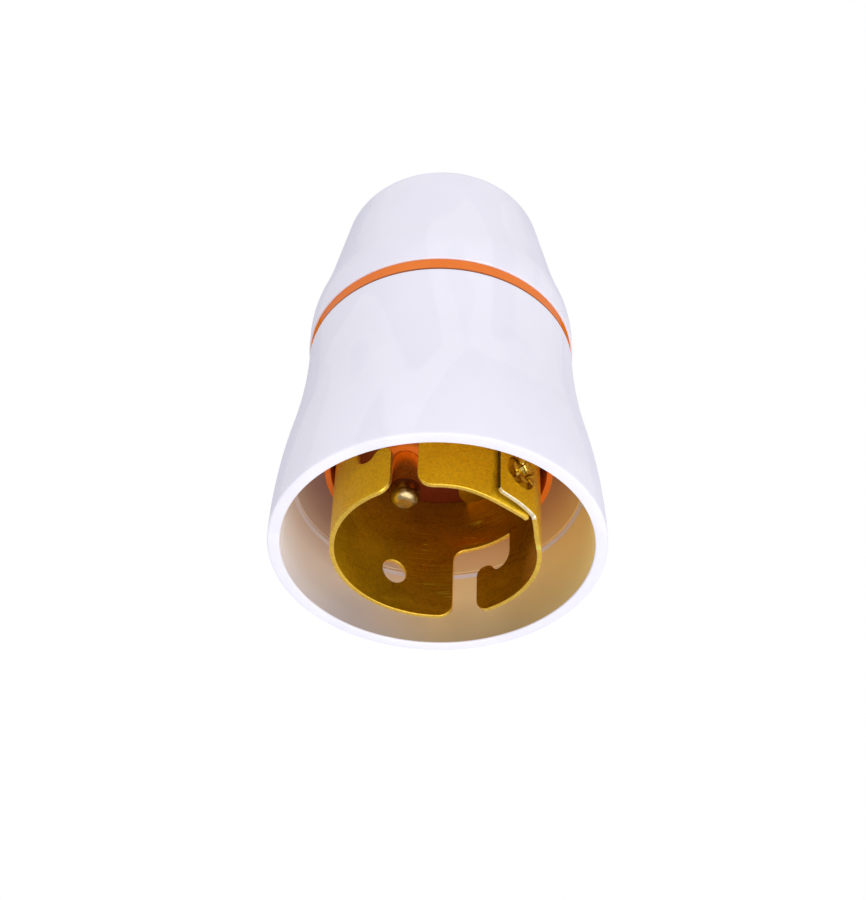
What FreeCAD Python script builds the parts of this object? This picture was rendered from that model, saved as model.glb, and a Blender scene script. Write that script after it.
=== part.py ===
import FreeCAD, Part
import math
import os
import Sketcher

# A B22 bayonet lamp holder, mouth down.  The origin is the centre of the skirt's
# rim plane, +Z runs up the holder to its cord entry, and every length is in mm.

doc = FreeCAD.newDocument("LampHolder")
vector = FreeCAD.Vector

# ---------------------------------------------------------------- driving sizes
sheet = doc.addObject("Spreadsheet::Sheet", "Sizes")

driving = [
    ("running_gap", 0.05),          # radial play of every threaded or sliding fit
    ("seat_gap", 0.02),             # clearance under a part that rests on its seat
    ("overrun", 1.0),               # how far a cut runs past what it cuts
    # insulator
    ("flange_low", 28.65),
    ("flange_height", 1.65),
    ("flange_reach", 2.85),
    ("collar_wall", 0.67),
    ("collar_depth", 5.3),
    ("ceiling_level", 16.65),
    ("terminal_floor_drop", 1.0),
    ("well_wall", 1.45),
    ("upper_neck_height", 6.2),
    ("rib_thickness", 2.4),
    ("rib_length", 13.6),
    ("rib_rise", 3.5),
    ("saddle_radius", 2.2),
    # skirt
    ("rim_radius", 18.6),
    ("rim_wall", 1.4),
    ("rim_round", 0.25),
    ("mouth_round", 0.2),
    ("skirt_band", 0.4),
    ("ledge_wall", 1.0),
    ("skirt_thread", 8.95),
    ("ring_line_level", 9.4),
    ("ring_line_step", 0.15),
    ("ring_line_inset", 0.62),
    # cap
    ("cap_overhang", 0.17),
    ("cap_band", 1.75),
    ("cap_waist_inset", 0.52),
    ("cap_waist_rise", 4.1),
    ("cap_waist_bend", 14.0),
    ("cap_neck_inset", 1.37),
    ("cap_neck_rise", 5.6),
    ("cap_neck_bend", 60.0),
    ("cap_crown_inset", 1.7),
    ("cap_crown_rise", 8.9),
    ("cap_crown_bend", 3.0),
    ("cap_dome_inset", 2.33),
    ("cap_dome_rise", 2.35),
    ("cap_top_rise", 0.97),
    ("cap_wall", 1.7),
    ("cap_crown_wall", 0.9),
    ("thread_spare", 2.0),
    ("cord_boss_radius", 5.6),
    ("cord_boss_height", 2.6),
    ("cord_bore", 4.0),
    ("cord_lip", 0.6),
    # bayonet barrel
    ("sheet", 0.55),
    ("barrel_radius", 11.7),
    ("barrel_mouth", 0.25),
    ("seam_gap", 0.08),
    ("seam_edge_angle", -59.0),
    ("seam_step_angle", -31.0),
    ("seam_step_span", 17.0),
    ("seam_tip_lead", 2.5),
    ("seam_end_angle", -80.0),
    ("seam_end_bend", 20.0),
    ("seam_lift", 1.1),
    ("lap_corner_run", 1.2),
    ("lap_corner_rise", 1.0),
    ("lap_trim_spare", 0.2),
    ("slot_angle", 60.25),
    ("slot_width", 2.9),
    ("slot_offset", 2.36),
    ("slot_top", 9.0),
    ("slot_mouth_round", 1.5),
    ("slot_corner_round", 1.3),
    ("leg_reach", 3.815),
    ("hump_height", 6.0),
    ("hump_round", 1.2),
    ("rest_height", 4.95),
    ("rest_round", 0.8),
    ("pilot_angle", 115.8),
    ("pilot_radius", 1.55),
    ("pilot_height", 5.2),
    ("clinch_angle", -42.0),
    ("clinch_height", 5.6),
    ("clinch_bore", 0.75),
    ("clinch_lip", 0.4),
    ("clinch_sink", 0.05),
    ("clinch_depth", 3.4),
    ("clinch_splits", 5),
    ("clinch_split_width", 0.22),
    ("clinch_split_spare", 0.3),
    ("ear_angle", 48.0),
    ("ear_width", 9.1),
    ("ear_reach", 4.2),
    ("ear_round", 2.73),
    ("rivet_inset", 2.15),
    ("rivet_radius", 0.95),
    ("rivet_head_radius", 1.7),
    ("rivet_head_height", 0.6),
    ("rivet_head_bevel", 0.68),
    ("rivet_head_edge", 0.2),
    # spring contacts
    ("plunger_angle", 138.5),
    ("plunger_place", 5.2),
    ("tip_radius", 1.82),
    ("tip_flat", 0.7),
    ("tip_reach", 6.85),
    ("tip_height", 2.4),
    ("shank_radius", 1.5),
    ("stop_radius", 2.3),
    ("stop_height", 1.0),
    ("stop_rise", 3.75),
    ("spring_wire", 0.4),
    ("spring_play", 0.1),
    ("spring_turns", 4.0),
    # terminals
    ("terminal_wide", 6.4),
    ("terminal_deep", 5.2),
    ("terminal_tall", 7.0),
    ("wire_hole", 1.3),
    ("wire_hole_up", 3.0),
    ("screw_radius", 1.25),
    ("screw_clamp", 0.5),
    ("screw_bevel", 0.35),
    ("screw_rise", 0.5),
    ("screw_head_radius", 1.9),
    ("screw_head_height", 1.6),
    ("screw_slot", 0.6),
    ("screw_slot_depth", 0.8),
    ("screw_slot_spare", 0.3),
]

# Sizes that follow from the driving ones.
derived = [
    ("barrel_inner", "=barrel_radius - sheet"),
    ("barrel_height", "=ceiling_level - barrel_mouth"),
    ("seam_inner", "=barrel_radius + seam_gap"),
    ("seam_outer", "=seam_inner + sheet"),
    ("collar_bore", "=seam_outer + running_gap"),
    ("collar_low", "=ceiling_level - collar_depth"),
    ("neck_radius", "=collar_bore + collar_wall"),
    ("thread_radius", "=neck_radius + running_gap"),
    ("terminal_well", "=neck_radius - well_wall"),
    ("terminal_floor", "=flange_low - terminal_floor_drop"),
    ("flange_radius", "=neck_radius + flange_reach"),
    ("flange_top", "=flange_low + flange_height"),
    ("neck_top", "=flange_top + upper_neck_height"),
    ("rib_top", "=neck_top + rib_rise"),
    ("skirt_top", "=flange_low - running_gap"),
    ("skirt_neck_radius", "=flange_radius + running_gap"),
    ("skirt_ledge", "=skirt_top - skirt_thread"),
    ("mouth_radius", "=rim_radius - rim_wall"),
    ("bell_height", "=skirt_top - skirt_band"),
    ("bell_flare", "=rim_radius - skirt_neck_radius"),
    ("bell_bend", "=bell_flare / 4 + bell_height ^ 2 / (4 * bell_flare)"),
    ("bell_middle_radius", "=(rim_radius + skirt_neck_radius) / 2"),
    ("bell_middle", "=bell_height / 2"),
    ("rim_lip_radius", "=rim_radius - rim_round"),
    ("mouth_lip_radius", "=mouth_radius + mouth_round"),
    ("ring_line_radius", "=mouth_radius - ring_line_inset"),
    ("ring_line_inner", "=ring_line_radius - ring_line_step"),
    ("ring_line_low", "=ring_line_level - ring_line_step"),
    ("ledge_radius", "=skirt_neck_radius - ledge_wall"),
    ("cap_base", "=flange_top + running_gap"),
    ("cap_radius", "=skirt_neck_radius + cap_overhang"),
    ("cap_shoulder", "=cap_base + cap_band"),
    ("cap_waist_radius", "=cap_radius - cap_waist_inset"),
    ("cap_waist_level", "=cap_shoulder + cap_waist_rise"),
    ("cap_neck_radius", "=cap_waist_radius - cap_neck_inset"),
    ("cap_neck_level", "=cap_waist_level + cap_neck_rise"),
    ("cap_crown_radius", "=cap_neck_radius - cap_crown_inset"),
    ("cap_crown_level", "=cap_neck_level + cap_crown_rise"),
    ("cap_dome_radius", "=cap_crown_radius - cap_dome_inset"),
    ("cap_dome_level", "=cap_crown_level + cap_dome_rise"),
    ("cord_boss_low", "=cap_dome_level + cap_top_rise"),
    ("cord_boss_top", "=cord_boss_low + cord_boss_height"),
    ("cap_thread_top", "=neck_top + thread_spare"),
    ("cap_inner_neck", "=cap_crown_radius - cap_wall"),
    ("cap_inner_crown", "=cap_crown_level - cap_crown_wall"),
    ("cap_inner_dome", "=cap_dome_level - cap_wall"),
    ("cap_inner_dome_radius", "=cap_dome_radius - cap_wall"),
    ("cap_inner_top", "=cord_boss_low - cap_wall"),
    ("cord_lip_radius", "=cord_bore + cord_lip"),
    ("cord_boss_edge", "=cord_boss_radius - cord_lip"),
    ("cord_boss_side", "=cord_boss_top - cord_lip"),
    ("seam_tip_angle", "=seam_step_angle - seam_tip_lead"),
    ("seam_land_angle", "=seam_step_angle + seam_step_span"),
    ("seam_middle_angle", "=(seam_step_angle + seam_edge_angle) / 2"),
    ("seam_end_inside", "=seam_end_bend - sheet"),
    ("tip_outer", "=seam_inner - running_gap"),
    ("tip_inner", "=tip_outer - sheet"),
    ("ring_left", "=-barrel_radius"),
    ("ring_inner_left", "=-barrel_inner"),
    ("lap_outer_x", "=seam_outer * cos(seam_edge_angle * 1deg)"),
    ("lap_outer_y", "=seam_outer * sin(seam_edge_angle * 1deg)"),
    ("lap_inner_x", "=seam_inner * cos(seam_edge_angle * 1deg)"),
    ("lap_inner_y", "=seam_inner * sin(seam_edge_angle * 1deg)"),
    ("step_outer_x", "=seam_outer * cos(seam_step_angle * 1deg)"),
    ("step_outer_y", "=seam_outer * sin(seam_step_angle * 1deg)"),
    ("step_inner_x", "=seam_inner * cos(seam_step_angle * 1deg)"),
    ("step_inner_y", "=seam_inner * sin(seam_step_angle * 1deg)"),
    ("land_outer_x", "=barrel_radius * cos(seam_land_angle * 1deg)"),
    ("land_outer_y", "=barrel_radius * sin(seam_land_angle * 1deg)"),
    ("land_inner_x", "=barrel_inner * cos(seam_land_angle * 1deg)"),
    ("land_inner_y", "=barrel_inner * sin(seam_land_angle * 1deg)"),
    ("bend_outer_x", "=barrel_radius * cos(seam_end_angle * 1deg)"),
    ("bend_outer_y", "=barrel_radius * sin(seam_end_angle * 1deg)"),
    ("bend_inner_x", "=barrel_inner * cos(seam_end_angle * 1deg)"),
    ("bend_inner_y", "=barrel_inner * sin(seam_end_angle * 1deg)"),
    ("tip_outer_x", "=tip_outer * cos(seam_tip_angle * 1deg)"),
    ("tip_outer_y", "=tip_outer * sin(seam_tip_angle * 1deg)"),
    ("tip_inner_x", "=tip_inner * cos(seam_tip_angle * 1deg)"),
    ("tip_inner_y", "=tip_inner * sin(seam_tip_angle * 1deg)"),
    ("tool_reach", "=seam_outer + overrun"),
    ("slot_low", "=barrel_mouth - overrun"),
    ("slot_round_up", "=barrel_mouth + slot_mouth_round"),
    ("slot_ceiling", "=barrel_mouth + slot_top"),
    ("slot_far", "=slot_offset + slot_width / 2"),
    ("slot_near", "=slot_offset - slot_width / 2"),
    ("slot_far_mouth", "=slot_far + slot_mouth_round"),
    ("slot_near_mouth", "=slot_near - slot_mouth_round"),
    ("slot_corner_x", "=slot_far - slot_corner_round"),
    ("slot_corner_up", "=slot_ceiling - slot_corner_round"),
    ("leg_end", "=-leg_reach"),
    ("hump_x", "=slot_near - hump_round"),
    ("hump_up", "=barrel_mouth + hump_height - hump_round"),
    ("rest_low", "=barrel_mouth + rest_height"),
    ("rest_up", "=rest_low + rest_round"),
    ("rest_x", "=hump_x - sqrt((hump_round + rest_round) ^ 2 - (rest_up - hump_up) ^ 2)"),
    ("blend_share", "=hump_round / (hump_round + rest_round)"),
    ("blend_x", "=hump_x + (rest_x - hump_x) * blend_share"),
    ("blend_up", "=hump_up + (rest_up - hump_up) * blend_share"),
    ("leg_round", "=leg_reach + rest_x"),
    ("leg_up", "=rest_low + leg_round"),
    ("pilot_up", "=barrel_mouth + pilot_height"),
    ("clinch_up", "=barrel_mouth + clinch_height"),
    ("clinch_lip_place", "=clinch_bore + clinch_lip - clinch_sink"),
    ("clinch_lip_reach", "=seam_outer - clinch_sink"),
    ("clinch_split_depth", "=tool_reach - seam_outer - seat_gap"),
    ("clinch_split_length", "=clinch_lip_place + clinch_lip + clinch_split_spare"),
    ("clinch_split_left", "=-clinch_split_width"),
    ("lift_level", "=barrel_mouth + seam_lift"),
    ("lift_half", "=seam_outer * sin((seam_step_angle - seam_edge_angle) / 2 * 1deg) + lap_trim_spare"),
    ("lift_left", "=-lift_half"),
    ("lift_chamfer", "=lap_corner_run - lift_half"),
    ("lift_corner", "=lift_level + lap_corner_rise"),
    ("lift_depth", "=tool_reach - seam_inner * cos((seam_step_angle - seam_edge_angle) / 2 * 1deg) - seat_gap"),
    ("ear_low", "=ceiling_level - sheet"),
    ("ear_inner", "=barrel_inner - ear_reach"),
    ("ear_outer", "=barrel_radius - sheet / 2"),
    ("ear_half", "=ear_width / 2"),
    ("ear_other_half", "=-ear_half"),
    ("ear_root", "=sqrt(ear_outer ^ 2 - ear_half ^ 2)"),
    ("ear_round_x", "=ear_inner + ear_round"),
    ("ear_round_y", "=ear_half - ear_round"),
    ("ear_round_low", "=-ear_round_y"),
    ("rivet_hole", "=rivet_radius + running_gap"),
    ("rivet_place", "=barrel_inner - rivet_inset"),
    ("rivet_low", "=ear_low - rivet_head_height"),
    ("rivet_rim", "=ear_low - rivet_head_edge"),
    ("rivet_head_flat", "=rivet_head_radius - rivet_head_bevel"),
    ("rivet_x", "=rivet_place * cos(ear_angle * 1deg)"),
    ("rivet_y", "=rivet_place * sin(ear_angle * 1deg)"),
    ("rivet_other_x", "=-rivet_x"),
    ("rivet_other_y", "=-rivet_y"),
    ("rivet_top", "=terminal_floor + rivet_head_height"),
    ("bore_radius", "=shank_radius + running_gap"),
    ("chamber_radius", "=stop_radius + running_gap"),
    ("plunger_x", "=plunger_place * cos(plunger_angle * 1deg)"),
    ("plunger_y", "=plunger_place * sin(plunger_angle * 1deg)"),
    ("plunger_other_x", "=-plunger_x"),
    ("plunger_other_y", "=-plunger_y"),
    ("tip_round", "=tip_radius - tip_flat"),
    ("tip_low", "=ceiling_level - tip_reach"),
    ("tip_shoulder", "=tip_low + tip_round"),
    ("tip_top", "=tip_low + tip_height"),
    ("stop_ledge", "=ceiling_level + stop_rise"),
    ("stop_low", "=stop_ledge + seat_gap"),
    ("stop_top", "=stop_low + stop_height"),
    ("bore_depth", "=terminal_floor - ceiling_level + overrun"),
    ("chamber_depth", "=terminal_floor - stop_ledge"),
    ("spring_radius", "=stop_radius - spring_wire / 2 - spring_play"),
    ("spring_low", "=stop_top + spring_wire / 2 + seat_gap"),
    ("spring_rise", "=terminal_floor - stop_top - spring_wire - 2 * seat_gap"),
    ("spring_pitch", "=spring_rise / spring_turns"),
    ("coil_out", "=spring_radius + spring_wire / 2"),
    ("coil_out_side", "=spring_radius + spring_wire / 4"),
    ("coil_in_side", "=spring_radius - spring_wire / 4"),
    ("coil_in", "=spring_radius - spring_wire / 2"),
    ("coil_up", "=spring_low + spring_wire / 2 * sin(60deg)"),
    ("coil_down", "=spring_low - spring_wire / 2 * sin(60deg)"),
    ("opposite_angle", "=plunger_angle + 180"),
    ("rib_angle", "=plunger_angle - 90"),
    ("rib_opposite", "=rib_angle + 180"),
    ("rib_half", "=rib_thickness / 2"),
    ("rib_other_half", "=-rib_half"),
    ("rib_end", "=rib_length / 2"),
    ("rib_other_end", "=-rib_end"),
    ("rib_height", "=rib_top - terminal_floor"),
    ("terminal_top", "=terminal_floor + terminal_tall"),
    ("terminal_inner", "=plunger_place - terminal_deep / 2"),
    ("terminal_outer", "=plunger_place + terminal_deep / 2"),
    ("terminal_half", "=terminal_wide / 2"),
    ("terminal_other_half", "=-terminal_half"),
    ("wire_hole_level", "=terminal_floor + wire_hole_up"),
    ("wire_reach", "=terminal_half + overrun"),
    ("wire_drive", "=terminal_wide + 2 * overrun"),
    ("thread_hole", "=screw_radius + running_gap"),
    ("thread_depth", "=terminal_tall - wire_hole_up"),
    ("screw_tip", "=wire_hole_level + screw_clamp"),
    ("screw_tip_radius", "=screw_radius - screw_bevel"),
    ("screw_tip_shoulder", "=screw_tip + screw_bevel"),
    ("screw_head_low", "=terminal_top + screw_rise"),
    ("screw_top", "=screw_head_low + screw_head_height"),
    ("slot_half", "=screw_slot / 2"),
    ("slot_other_half", "=-slot_half"),
    ("slot_run", "=screw_head_radius + screw_slot_spare"),
    ("slot_other_run", "=-slot_run"),
]

for row, (name, content) in enumerate(driving + derived, start=1):
    cell = "A{}".format(row)
    sheet.set(cell, str(content))
    sheet.setAlias(cell, name)
doc.recompute()


def size(name):
    """The present value of a named size; a plain number stands for itself."""
    return float(sheet.get(name)) if isinstance(name, str) else float(name)


def bind(item, field, formula):
    """Tie one property of an object to the sheet."""
    item.setExpression(field, formula)


def sized(name):
    return "Sizes." + name


# ---------------------------------------------------------------- sketch helpers
def new_body(name):
    body = doc.addObject("PartDesign::Body", name)
    body.Label = name
    body.Placement = FreeCAD.Placement()
    return body


def origin_part(body, role):
    return next(part for part in body.Origin.OriginFeatures if part.Role == role)


def new_sketch(body, name, plane):
    sketch = body.newObject("Sketcher::SketchObject", name)
    sketch.AttachmentSupport = [(origin_part(body, plane), "")]
    sketch.MapMode = "FlatFace"
    return sketch


def flat_sketch(body, name, level, angle=0):
    """A level sketch at a named height, its x axis turned to a named angle."""
    sketch = new_sketch(body, name, "XY_Plane")
    turn = FreeCAD.Rotation(vector(0, 0, 1), size(angle))
    sketch.AttachmentOffset = FreeCAD.Placement(vector(0, 0, size(level)), turn)
    bind(sketch, "AttachmentOffset.Base.z", sized(level))
    if angle:
        bind(sketch, "AttachmentOffset.Rotation.Angle", sized(angle))
    return sketch


def wall_sketch(body, name, angle, reach, level=0):
    """An upright sketch that faces outward at a named angle round the axis, `reach` from it.
    Its x runs anticlockwise round the axis, and its y runs up from `level`."""
    sketch = new_sketch(body, name, "XZ_Plane")
    turn = FreeCAD.Rotation(vector(0, 1, 0), size(angle) + 90)
    centre = turn.multVec(vector(0, 0, size(reach))) + vector(0, size(level), 0)
    sketch.AttachmentOffset = FreeCAD.Placement(centre, turn)
    bearing = "({} + 90)".format(sized(angle))
    bind(sketch, "AttachmentOffset.Rotation.Angle", bearing)
    bind(sketch, "AttachmentOffset.Base.x", "{} * sin({} * 1deg)".format(sized(reach), bearing))
    bind(sketch, "AttachmentOffset.Base.z", "{} * cos({} * 1deg)".format(sized(reach), bearing))
    if level:
        bind(sketch, "AttachmentOffset.Base.y", sized(level))
    return sketch


def pin_point(sketch, item, end, x, y):
    """Hold a point of the sketch at named coordinates."""
    if x == 0:
        sketch.addConstraint(Sketcher.Constraint("PointOnObject", item, end, -2))
    else:
        place = sketch.addConstraint(Sketcher.Constraint("DistanceX", -1, 1, item, end, size(x)))
        if isinstance(x, str):
            bind(sketch, "Constraints[{}]".format(place), sized(x))
    if y == 0:
        sketch.addConstraint(Sketcher.Constraint("PointOnObject", item, end, -1))
    else:
        place = sketch.addConstraint(Sketcher.Constraint("DistanceY", -1, 1, item, end, size(y)))
        if isinstance(y, str):
            bind(sketch, "Constraints[{}]".format(place), sized(y))


def circle(sketch, x, y, radius):
    """A round of named place and radius."""
    item = sketch.addGeometry(Part.Circle(vector(size(x), size(y), 0), vector(0, 0, 1), size(radius)), False)
    pin_point(sketch, item, 3, x, y)
    place = sketch.addConstraint(Sketcher.Constraint("Radius", item, size(radius)))
    bind(sketch, "Constraints[{}]".format(place), sized(radius))


def outline(sketch, corners):
    """A closed outline through named corners (x, y).  A corner with a radius and a
    side is reached by an arc that bulges to the left (+1) or right (-1) of travel."""
    points = [vector(size(corner[0]), size(corner[1]), 0) for corner in corners]
    ends = []
    for index, corner in enumerate(corners):
        start, finish = points[index - 1], points[index]
        if len(corner) == 2:
            item = sketch.addGeometry(Part.LineSegment(start, finish), False)
            ends.append((item, 1, 2))
            continue
        radius, side = size(corner[2]), corner[3]
        chord = finish - start
        across = vector(-chord.y, chord.x, 0).normalize()
        rise = radius - math.sqrt(max(radius ** 2 - chord.Length ** 2 / 4, 0))
        middle = (start + finish) * 0.5 + across * (rise * side)
        item = sketch.addGeometry(Part.Arc(start, middle, finish), False)
        forward = sketch.getPoint(item, 1).distanceToPoint(start) < 1e-6
        ends.append((item, 1, 2) if forward else (item, 2, 1))
        place = sketch.addConstraint(Sketcher.Constraint("Radius", item, radius))
        bind(sketch, "Constraints[{}]".format(place), sized(corner[2]))
    for index, corner in enumerate(corners):
        item, _, tail = ends[index]
        following, head, _ = ends[(index + 1) % len(ends)]
        sketch.addConstraint(Sketcher.Constraint("Coincident", item, tail, following, head))
        pin_point(sketch, item, tail, corner[0], corner[1])


# ---------------------------------------------------------------- feature helpers
def revolve(body, name, sketch, axis="V_Axis"):
    feature = body.newObject("PartDesign::Revolution", name)
    feature.Profile = sketch
    feature.ReferenceAxis = (sketch, [axis])
    feature.Angle = 360
    return feature


def pad(body, name, sketch, length):
    feature = body.newObject("PartDesign::Pad", name)
    feature.Profile = sketch
    feature.Length = size(length)
    bind(feature, "Length", sized(length))
    return feature


def pocket(body, name, sketch, length):
    feature = body.newObject("PartDesign::Pocket", name)
    feature.Profile = sketch
    feature.Length = size(length)
    bind(feature, "Length", sized(length))
    return feature


def round_pattern(body, name, feature, count, axis=None):
    pattern = body.newObject("PartDesign::PolarPattern", name)
    pattern.Originals = [feature]
    pattern.Axis = axis or (origin_part(body, "Z_Axis"), [""])
    pattern.Angle = 360
    pattern.Occurrences = count
    body.Tip = pattern
    return pattern


# ---------------------------------------------------------------- skirt
skirt = new_body("skirt")
bell = new_sketch(skirt, "BellProfile", "XZ_Plane")
outline(bell, [
    ("rim_lip_radius", 0),
    ("rim_radius", "rim_round", "rim_round", -1),
    ("bell_middle_radius", "bell_middle", "bell_bend", -1),
    ("skirt_neck_radius", "bell_height", "bell_bend", 1),
    ("skirt_neck_radius", "skirt_top"),
    ("thread_radius", "skirt_top"),
    ("thread_radius", "skirt_ledge"),
    ("ledge_radius", "skirt_ledge"),
    ("ring_line_inner", "ring_line_level"),
    ("ring_line_radius", "ring_line_low"),
    ("mouth_radius", "mouth_round"),
    ("mouth_lip_radius", 0, "mouth_round", -1),
])
revolve(skirt, "Bell", bell)

# ---------------------------------------------------------------- cord cap
cap = new_body("cord_cap")
dome = new_sketch(cap, "DomeProfile", "XZ_Plane")
outline(dome, [
    ("thread_radius", "cap_base"),
    ("cap_radius", "cap_base"),
    ("cap_radius", "cap_shoulder"),
    ("cap_waist_radius", "cap_waist_level", "cap_waist_bend", -1),
    ("cap_neck_radius", "cap_neck_level", "cap_neck_bend", 1),
    ("cap_crown_radius", "cap_crown_level"),
    ("cap_dome_radius", "cap_dome_level", "cap_crown_bend", -1),
    ("cord_boss_radius", "cord_boss_low"),
    ("cord_boss_radius", "cord_boss_side"),
    ("cord_boss_edge", "cord_boss_top", "cord_lip", -1),
    ("cord_lip_radius", "cord_boss_top"),
    ("cord_bore", "cord_boss_side", "cord_lip", -1),
    ("cord_bore", "cap_inner_top"),
    ("cap_inner_dome_radius", "cap_inner_dome"),
    ("cap_inner_neck", "cap_inner_crown"),
    ("thread_radius", "cap_thread_top"),
])
revolve(cap, "Dome", dome)

# ---------------------------------------------------------------- insulator
insulator = new_body("insulator")
moulding = new_sketch(insulator, "MouldingProfile", "XZ_Plane")
outline(moulding, [
    ("collar_bore", "collar_low"),
    ("neck_radius", "collar_low"),
    ("neck_radius", "flange_low"),
    ("flange_radius", "flange_low"),
    ("flange_radius", "flange_top"),
    ("neck_radius", "flange_top"),
    ("neck_radius", "neck_top"),
    ("terminal_well", "neck_top"),
    ("terminal_well", "terminal_floor"),
    (0, "terminal_floor"),
    (0, "ceiling_level"),
    ("collar_bore", "ceiling_level"),
])
revolve(insulator, "Moulding", moulding)

# The rib keeps the two terminals apart and its saddles carry the cord's cores.
rib = flat_sketch(insulator, "RibOutline", "terminal_floor", "rib_angle")
outline(rib, [
    ("rib_end", "rib_other_half"),
    ("rib_end", "rib_half"),
    ("rib_other_end", "rib_half"),
    ("rib_other_end", "rib_other_half"),
])
pad(insulator, "Rib", rib, "rib_height")
saddle = wall_sketch(insulator, "SaddleRound", "plunger_angle", "rib_end")
circle(saddle, 0, "rib_top", "saddle_radius")
pocket(insulator, "Saddle", saddle, "rib_length")

bores = flat_sketch(insulator, "BoreRound", "terminal_floor")
circle(bores, "plunger_x", "plunger_y", "bore_radius")
bore = pocket(insulator, "PlungerBore", bores, "bore_depth")
round_pattern(insulator, "PlungerBores", bore, 2)
chambers = flat_sketch(insulator, "ChamberRound", "terminal_floor")
circle(chambers, "plunger_x", "plunger_y", "chamber_radius")
chamber = pocket(insulator, "SpringChamber", chambers, "chamber_depth")
round_pattern(insulator, "SpringChambers", chamber, 2)
rivet_holes = flat_sketch(insulator, "RivetRound", "terminal_floor", "ear_angle")
circle(rivet_holes, "rivet_place", 0, "rivet_hole")
rivet_hole = pocket(insulator, "RivetHole", rivet_holes, "bore_depth")
round_pattern(insulator, "RivetHoles", rivet_hole, 2)

# ---------------------------------------------------------------- bayonet barrel
# One strip of sheet brass, rolled until its end steps outward and laps its start.
barrel = new_body("bayonet_barrel")
roll = flat_sketch(barrel, "RolledStrip", "barrel_mouth")
outline(roll, [
    ("lap_outer_x", "lap_outer_y"),
    ("step_outer_x", "step_outer_y", "seam_outer", -1),
    ("land_outer_x", "land_outer_y"),
    (0, "barrel_radius", "barrel_radius", -1),
    ("ring_left", 0, "barrel_radius", -1),
    ("bend_outer_x", "bend_outer_y", "barrel_radius", -1),
    ("tip_outer_x", "tip_outer_y", "seam_end_bend", -1),
    ("tip_inner_x", "tip_inner_y"),
    ("bend_inner_x", "bend_inner_y", "seam_end_inside", 1),
    ("ring_inner_left", 0, "barrel_inner", 1),
    (0, "barrel_inner", "barrel_inner", 1),
    ("land_inner_x", "land_inner_y", "barrel_inner", 1),
    ("step_inner_x", "step_inner_y"),
    ("lap_inner_x", "lap_inner_y", "seam_inner", 1),
])
pad(barrel, "Strip", roll, "barrel_height")

# The two ears fold inward under the insulator's ceiling and take its rivets.
ear = flat_sketch(barrel, "EarOutline", "ear_low", "ear_angle")
outline(ear, [
    ("ear_root", "ear_other_half"),
    ("ear_root", "ear_half", "ear_outer", -1),
    ("ear_round_x", "ear_half"),
    ("ear_inner", "ear_round_y", "ear_round", -1),
    ("ear_inner", "ear_round_low"),
    ("ear_round_x", "ear_other_half", "ear_round", -1),
])
circle(ear, "rivet_place", 0, "rivet_hole")
folded_ear = pad(barrel, "Ear", ear, "sheet")
round_pattern(barrel, "Ears", folded_ear, 2)

# Each bayonet slot climbs from the mouth, turns over a rounded hump and drops to its rest.
slot = wall_sketch(barrel, "SlotOutline", "slot_angle", "tool_reach")
outline(slot, [
    ("slot_far_mouth", "slot_low"),
    ("slot_far_mouth", "barrel_mouth"),
    ("slot_far", "slot_round_up", "slot_mouth_round", 1),
    ("slot_far", "slot_corner_up"),
    ("slot_corner_x", "slot_ceiling", "slot_corner_round", -1),
    ("leg_end", "slot_ceiling"),
    ("leg_end", "leg_up"),
    ("rest_x", "rest_low", "leg_round", -1),
    ("blend_x", "blend_up", "rest_round", -1),
    ("slot_near", "hump_up", "hump_round", 1),
    ("slot_near", "slot_round_up"),
    ("slot_near_mouth", "barrel_mouth", "slot_mouth_round", 1),
    ("slot_near_mouth", "slot_low"),
])
bayonet_slot = pocket(barrel, "BayonetSlot", slot, "tool_reach")
round_pattern(barrel, "BayonetSlots", bayonet_slot, 2)
pilot = wall_sketch(barrel, "PilotRound", "pilot_angle", "tool_reach")
circle(pilot, 0, "pilot_up", "pilot_radius")
pocket(barrel, "PilotHole", pilot, "tool_reach")

# The lapped end is cut back a little at the mouth, with its free corner taken off.
lift = wall_sketch(barrel, "LapTrim", "seam_middle_angle", "tool_reach")
outline(lift, [
    ("lift_half", "slot_low"),
    ("lift_half", "barrel_mouth"),
    ("lift_chamfer", "lift_level"),
    ("lift_left", "lift_corner"),
    ("lift_left", "slot_low"),
])
pocket(barrel, "LapCut", lift, "lift_depth")

# The lap is clinched: a pierced hole whose burst lip curls back over the outer sheet.
lip = flat_sketch(barrel, "ClinchLip", "clinch_up", "clinch_angle")
circle(lip, "clinch_lip_reach", "clinch_lip_place", "clinch_lip")
revolve(barrel, "ClinchCurl", lip, "H_Axis")
burst = wall_sketch(barrel, "ClinchSplit", "clinch_angle", "tool_reach", "clinch_up")
outline(burst, [
    (0, 0),
    ("clinch_split_width", "clinch_split_length"),
    ("clinch_split_left", "clinch_split_length"),
])
split = pocket(barrel, "ClinchSplitCut", burst, "clinch_split_depth")
petals = round_pattern(barrel, "ClinchPetals", split, 5, (burst, ["N_Axis"]))
bind(petals, "Occurrences", sized("clinch_splits"))
pierced = wall_sketch(barrel, "ClinchRound", "clinch_angle", "tool_reach", "clinch_up")
circle(pierced, 0, 0, "clinch_bore")
pocket(barrel, "ClinchHole", pierced, "clinch_depth")


# ---------------------------------------------------------------- small turned parts
def stand(body, x, y):
    """Put a body's own axis at named coordinates."""
    body.Placement = FreeCAD.Placement(vector(size(x), size(y), 0), FreeCAD.Rotation())
    bind(body, "Placement.Base.x", sized(x))
    bind(body, "Placement.Base.y", sized(y))


def turned_part(name, corners, x, y):
    body = new_body(name)
    stand(body, x, y)
    profile = new_sketch(body, name + "_profile", "XZ_Plane")
    outline(profile, corners)
    revolve(body, name + "_turning", profile)
    return body


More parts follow.
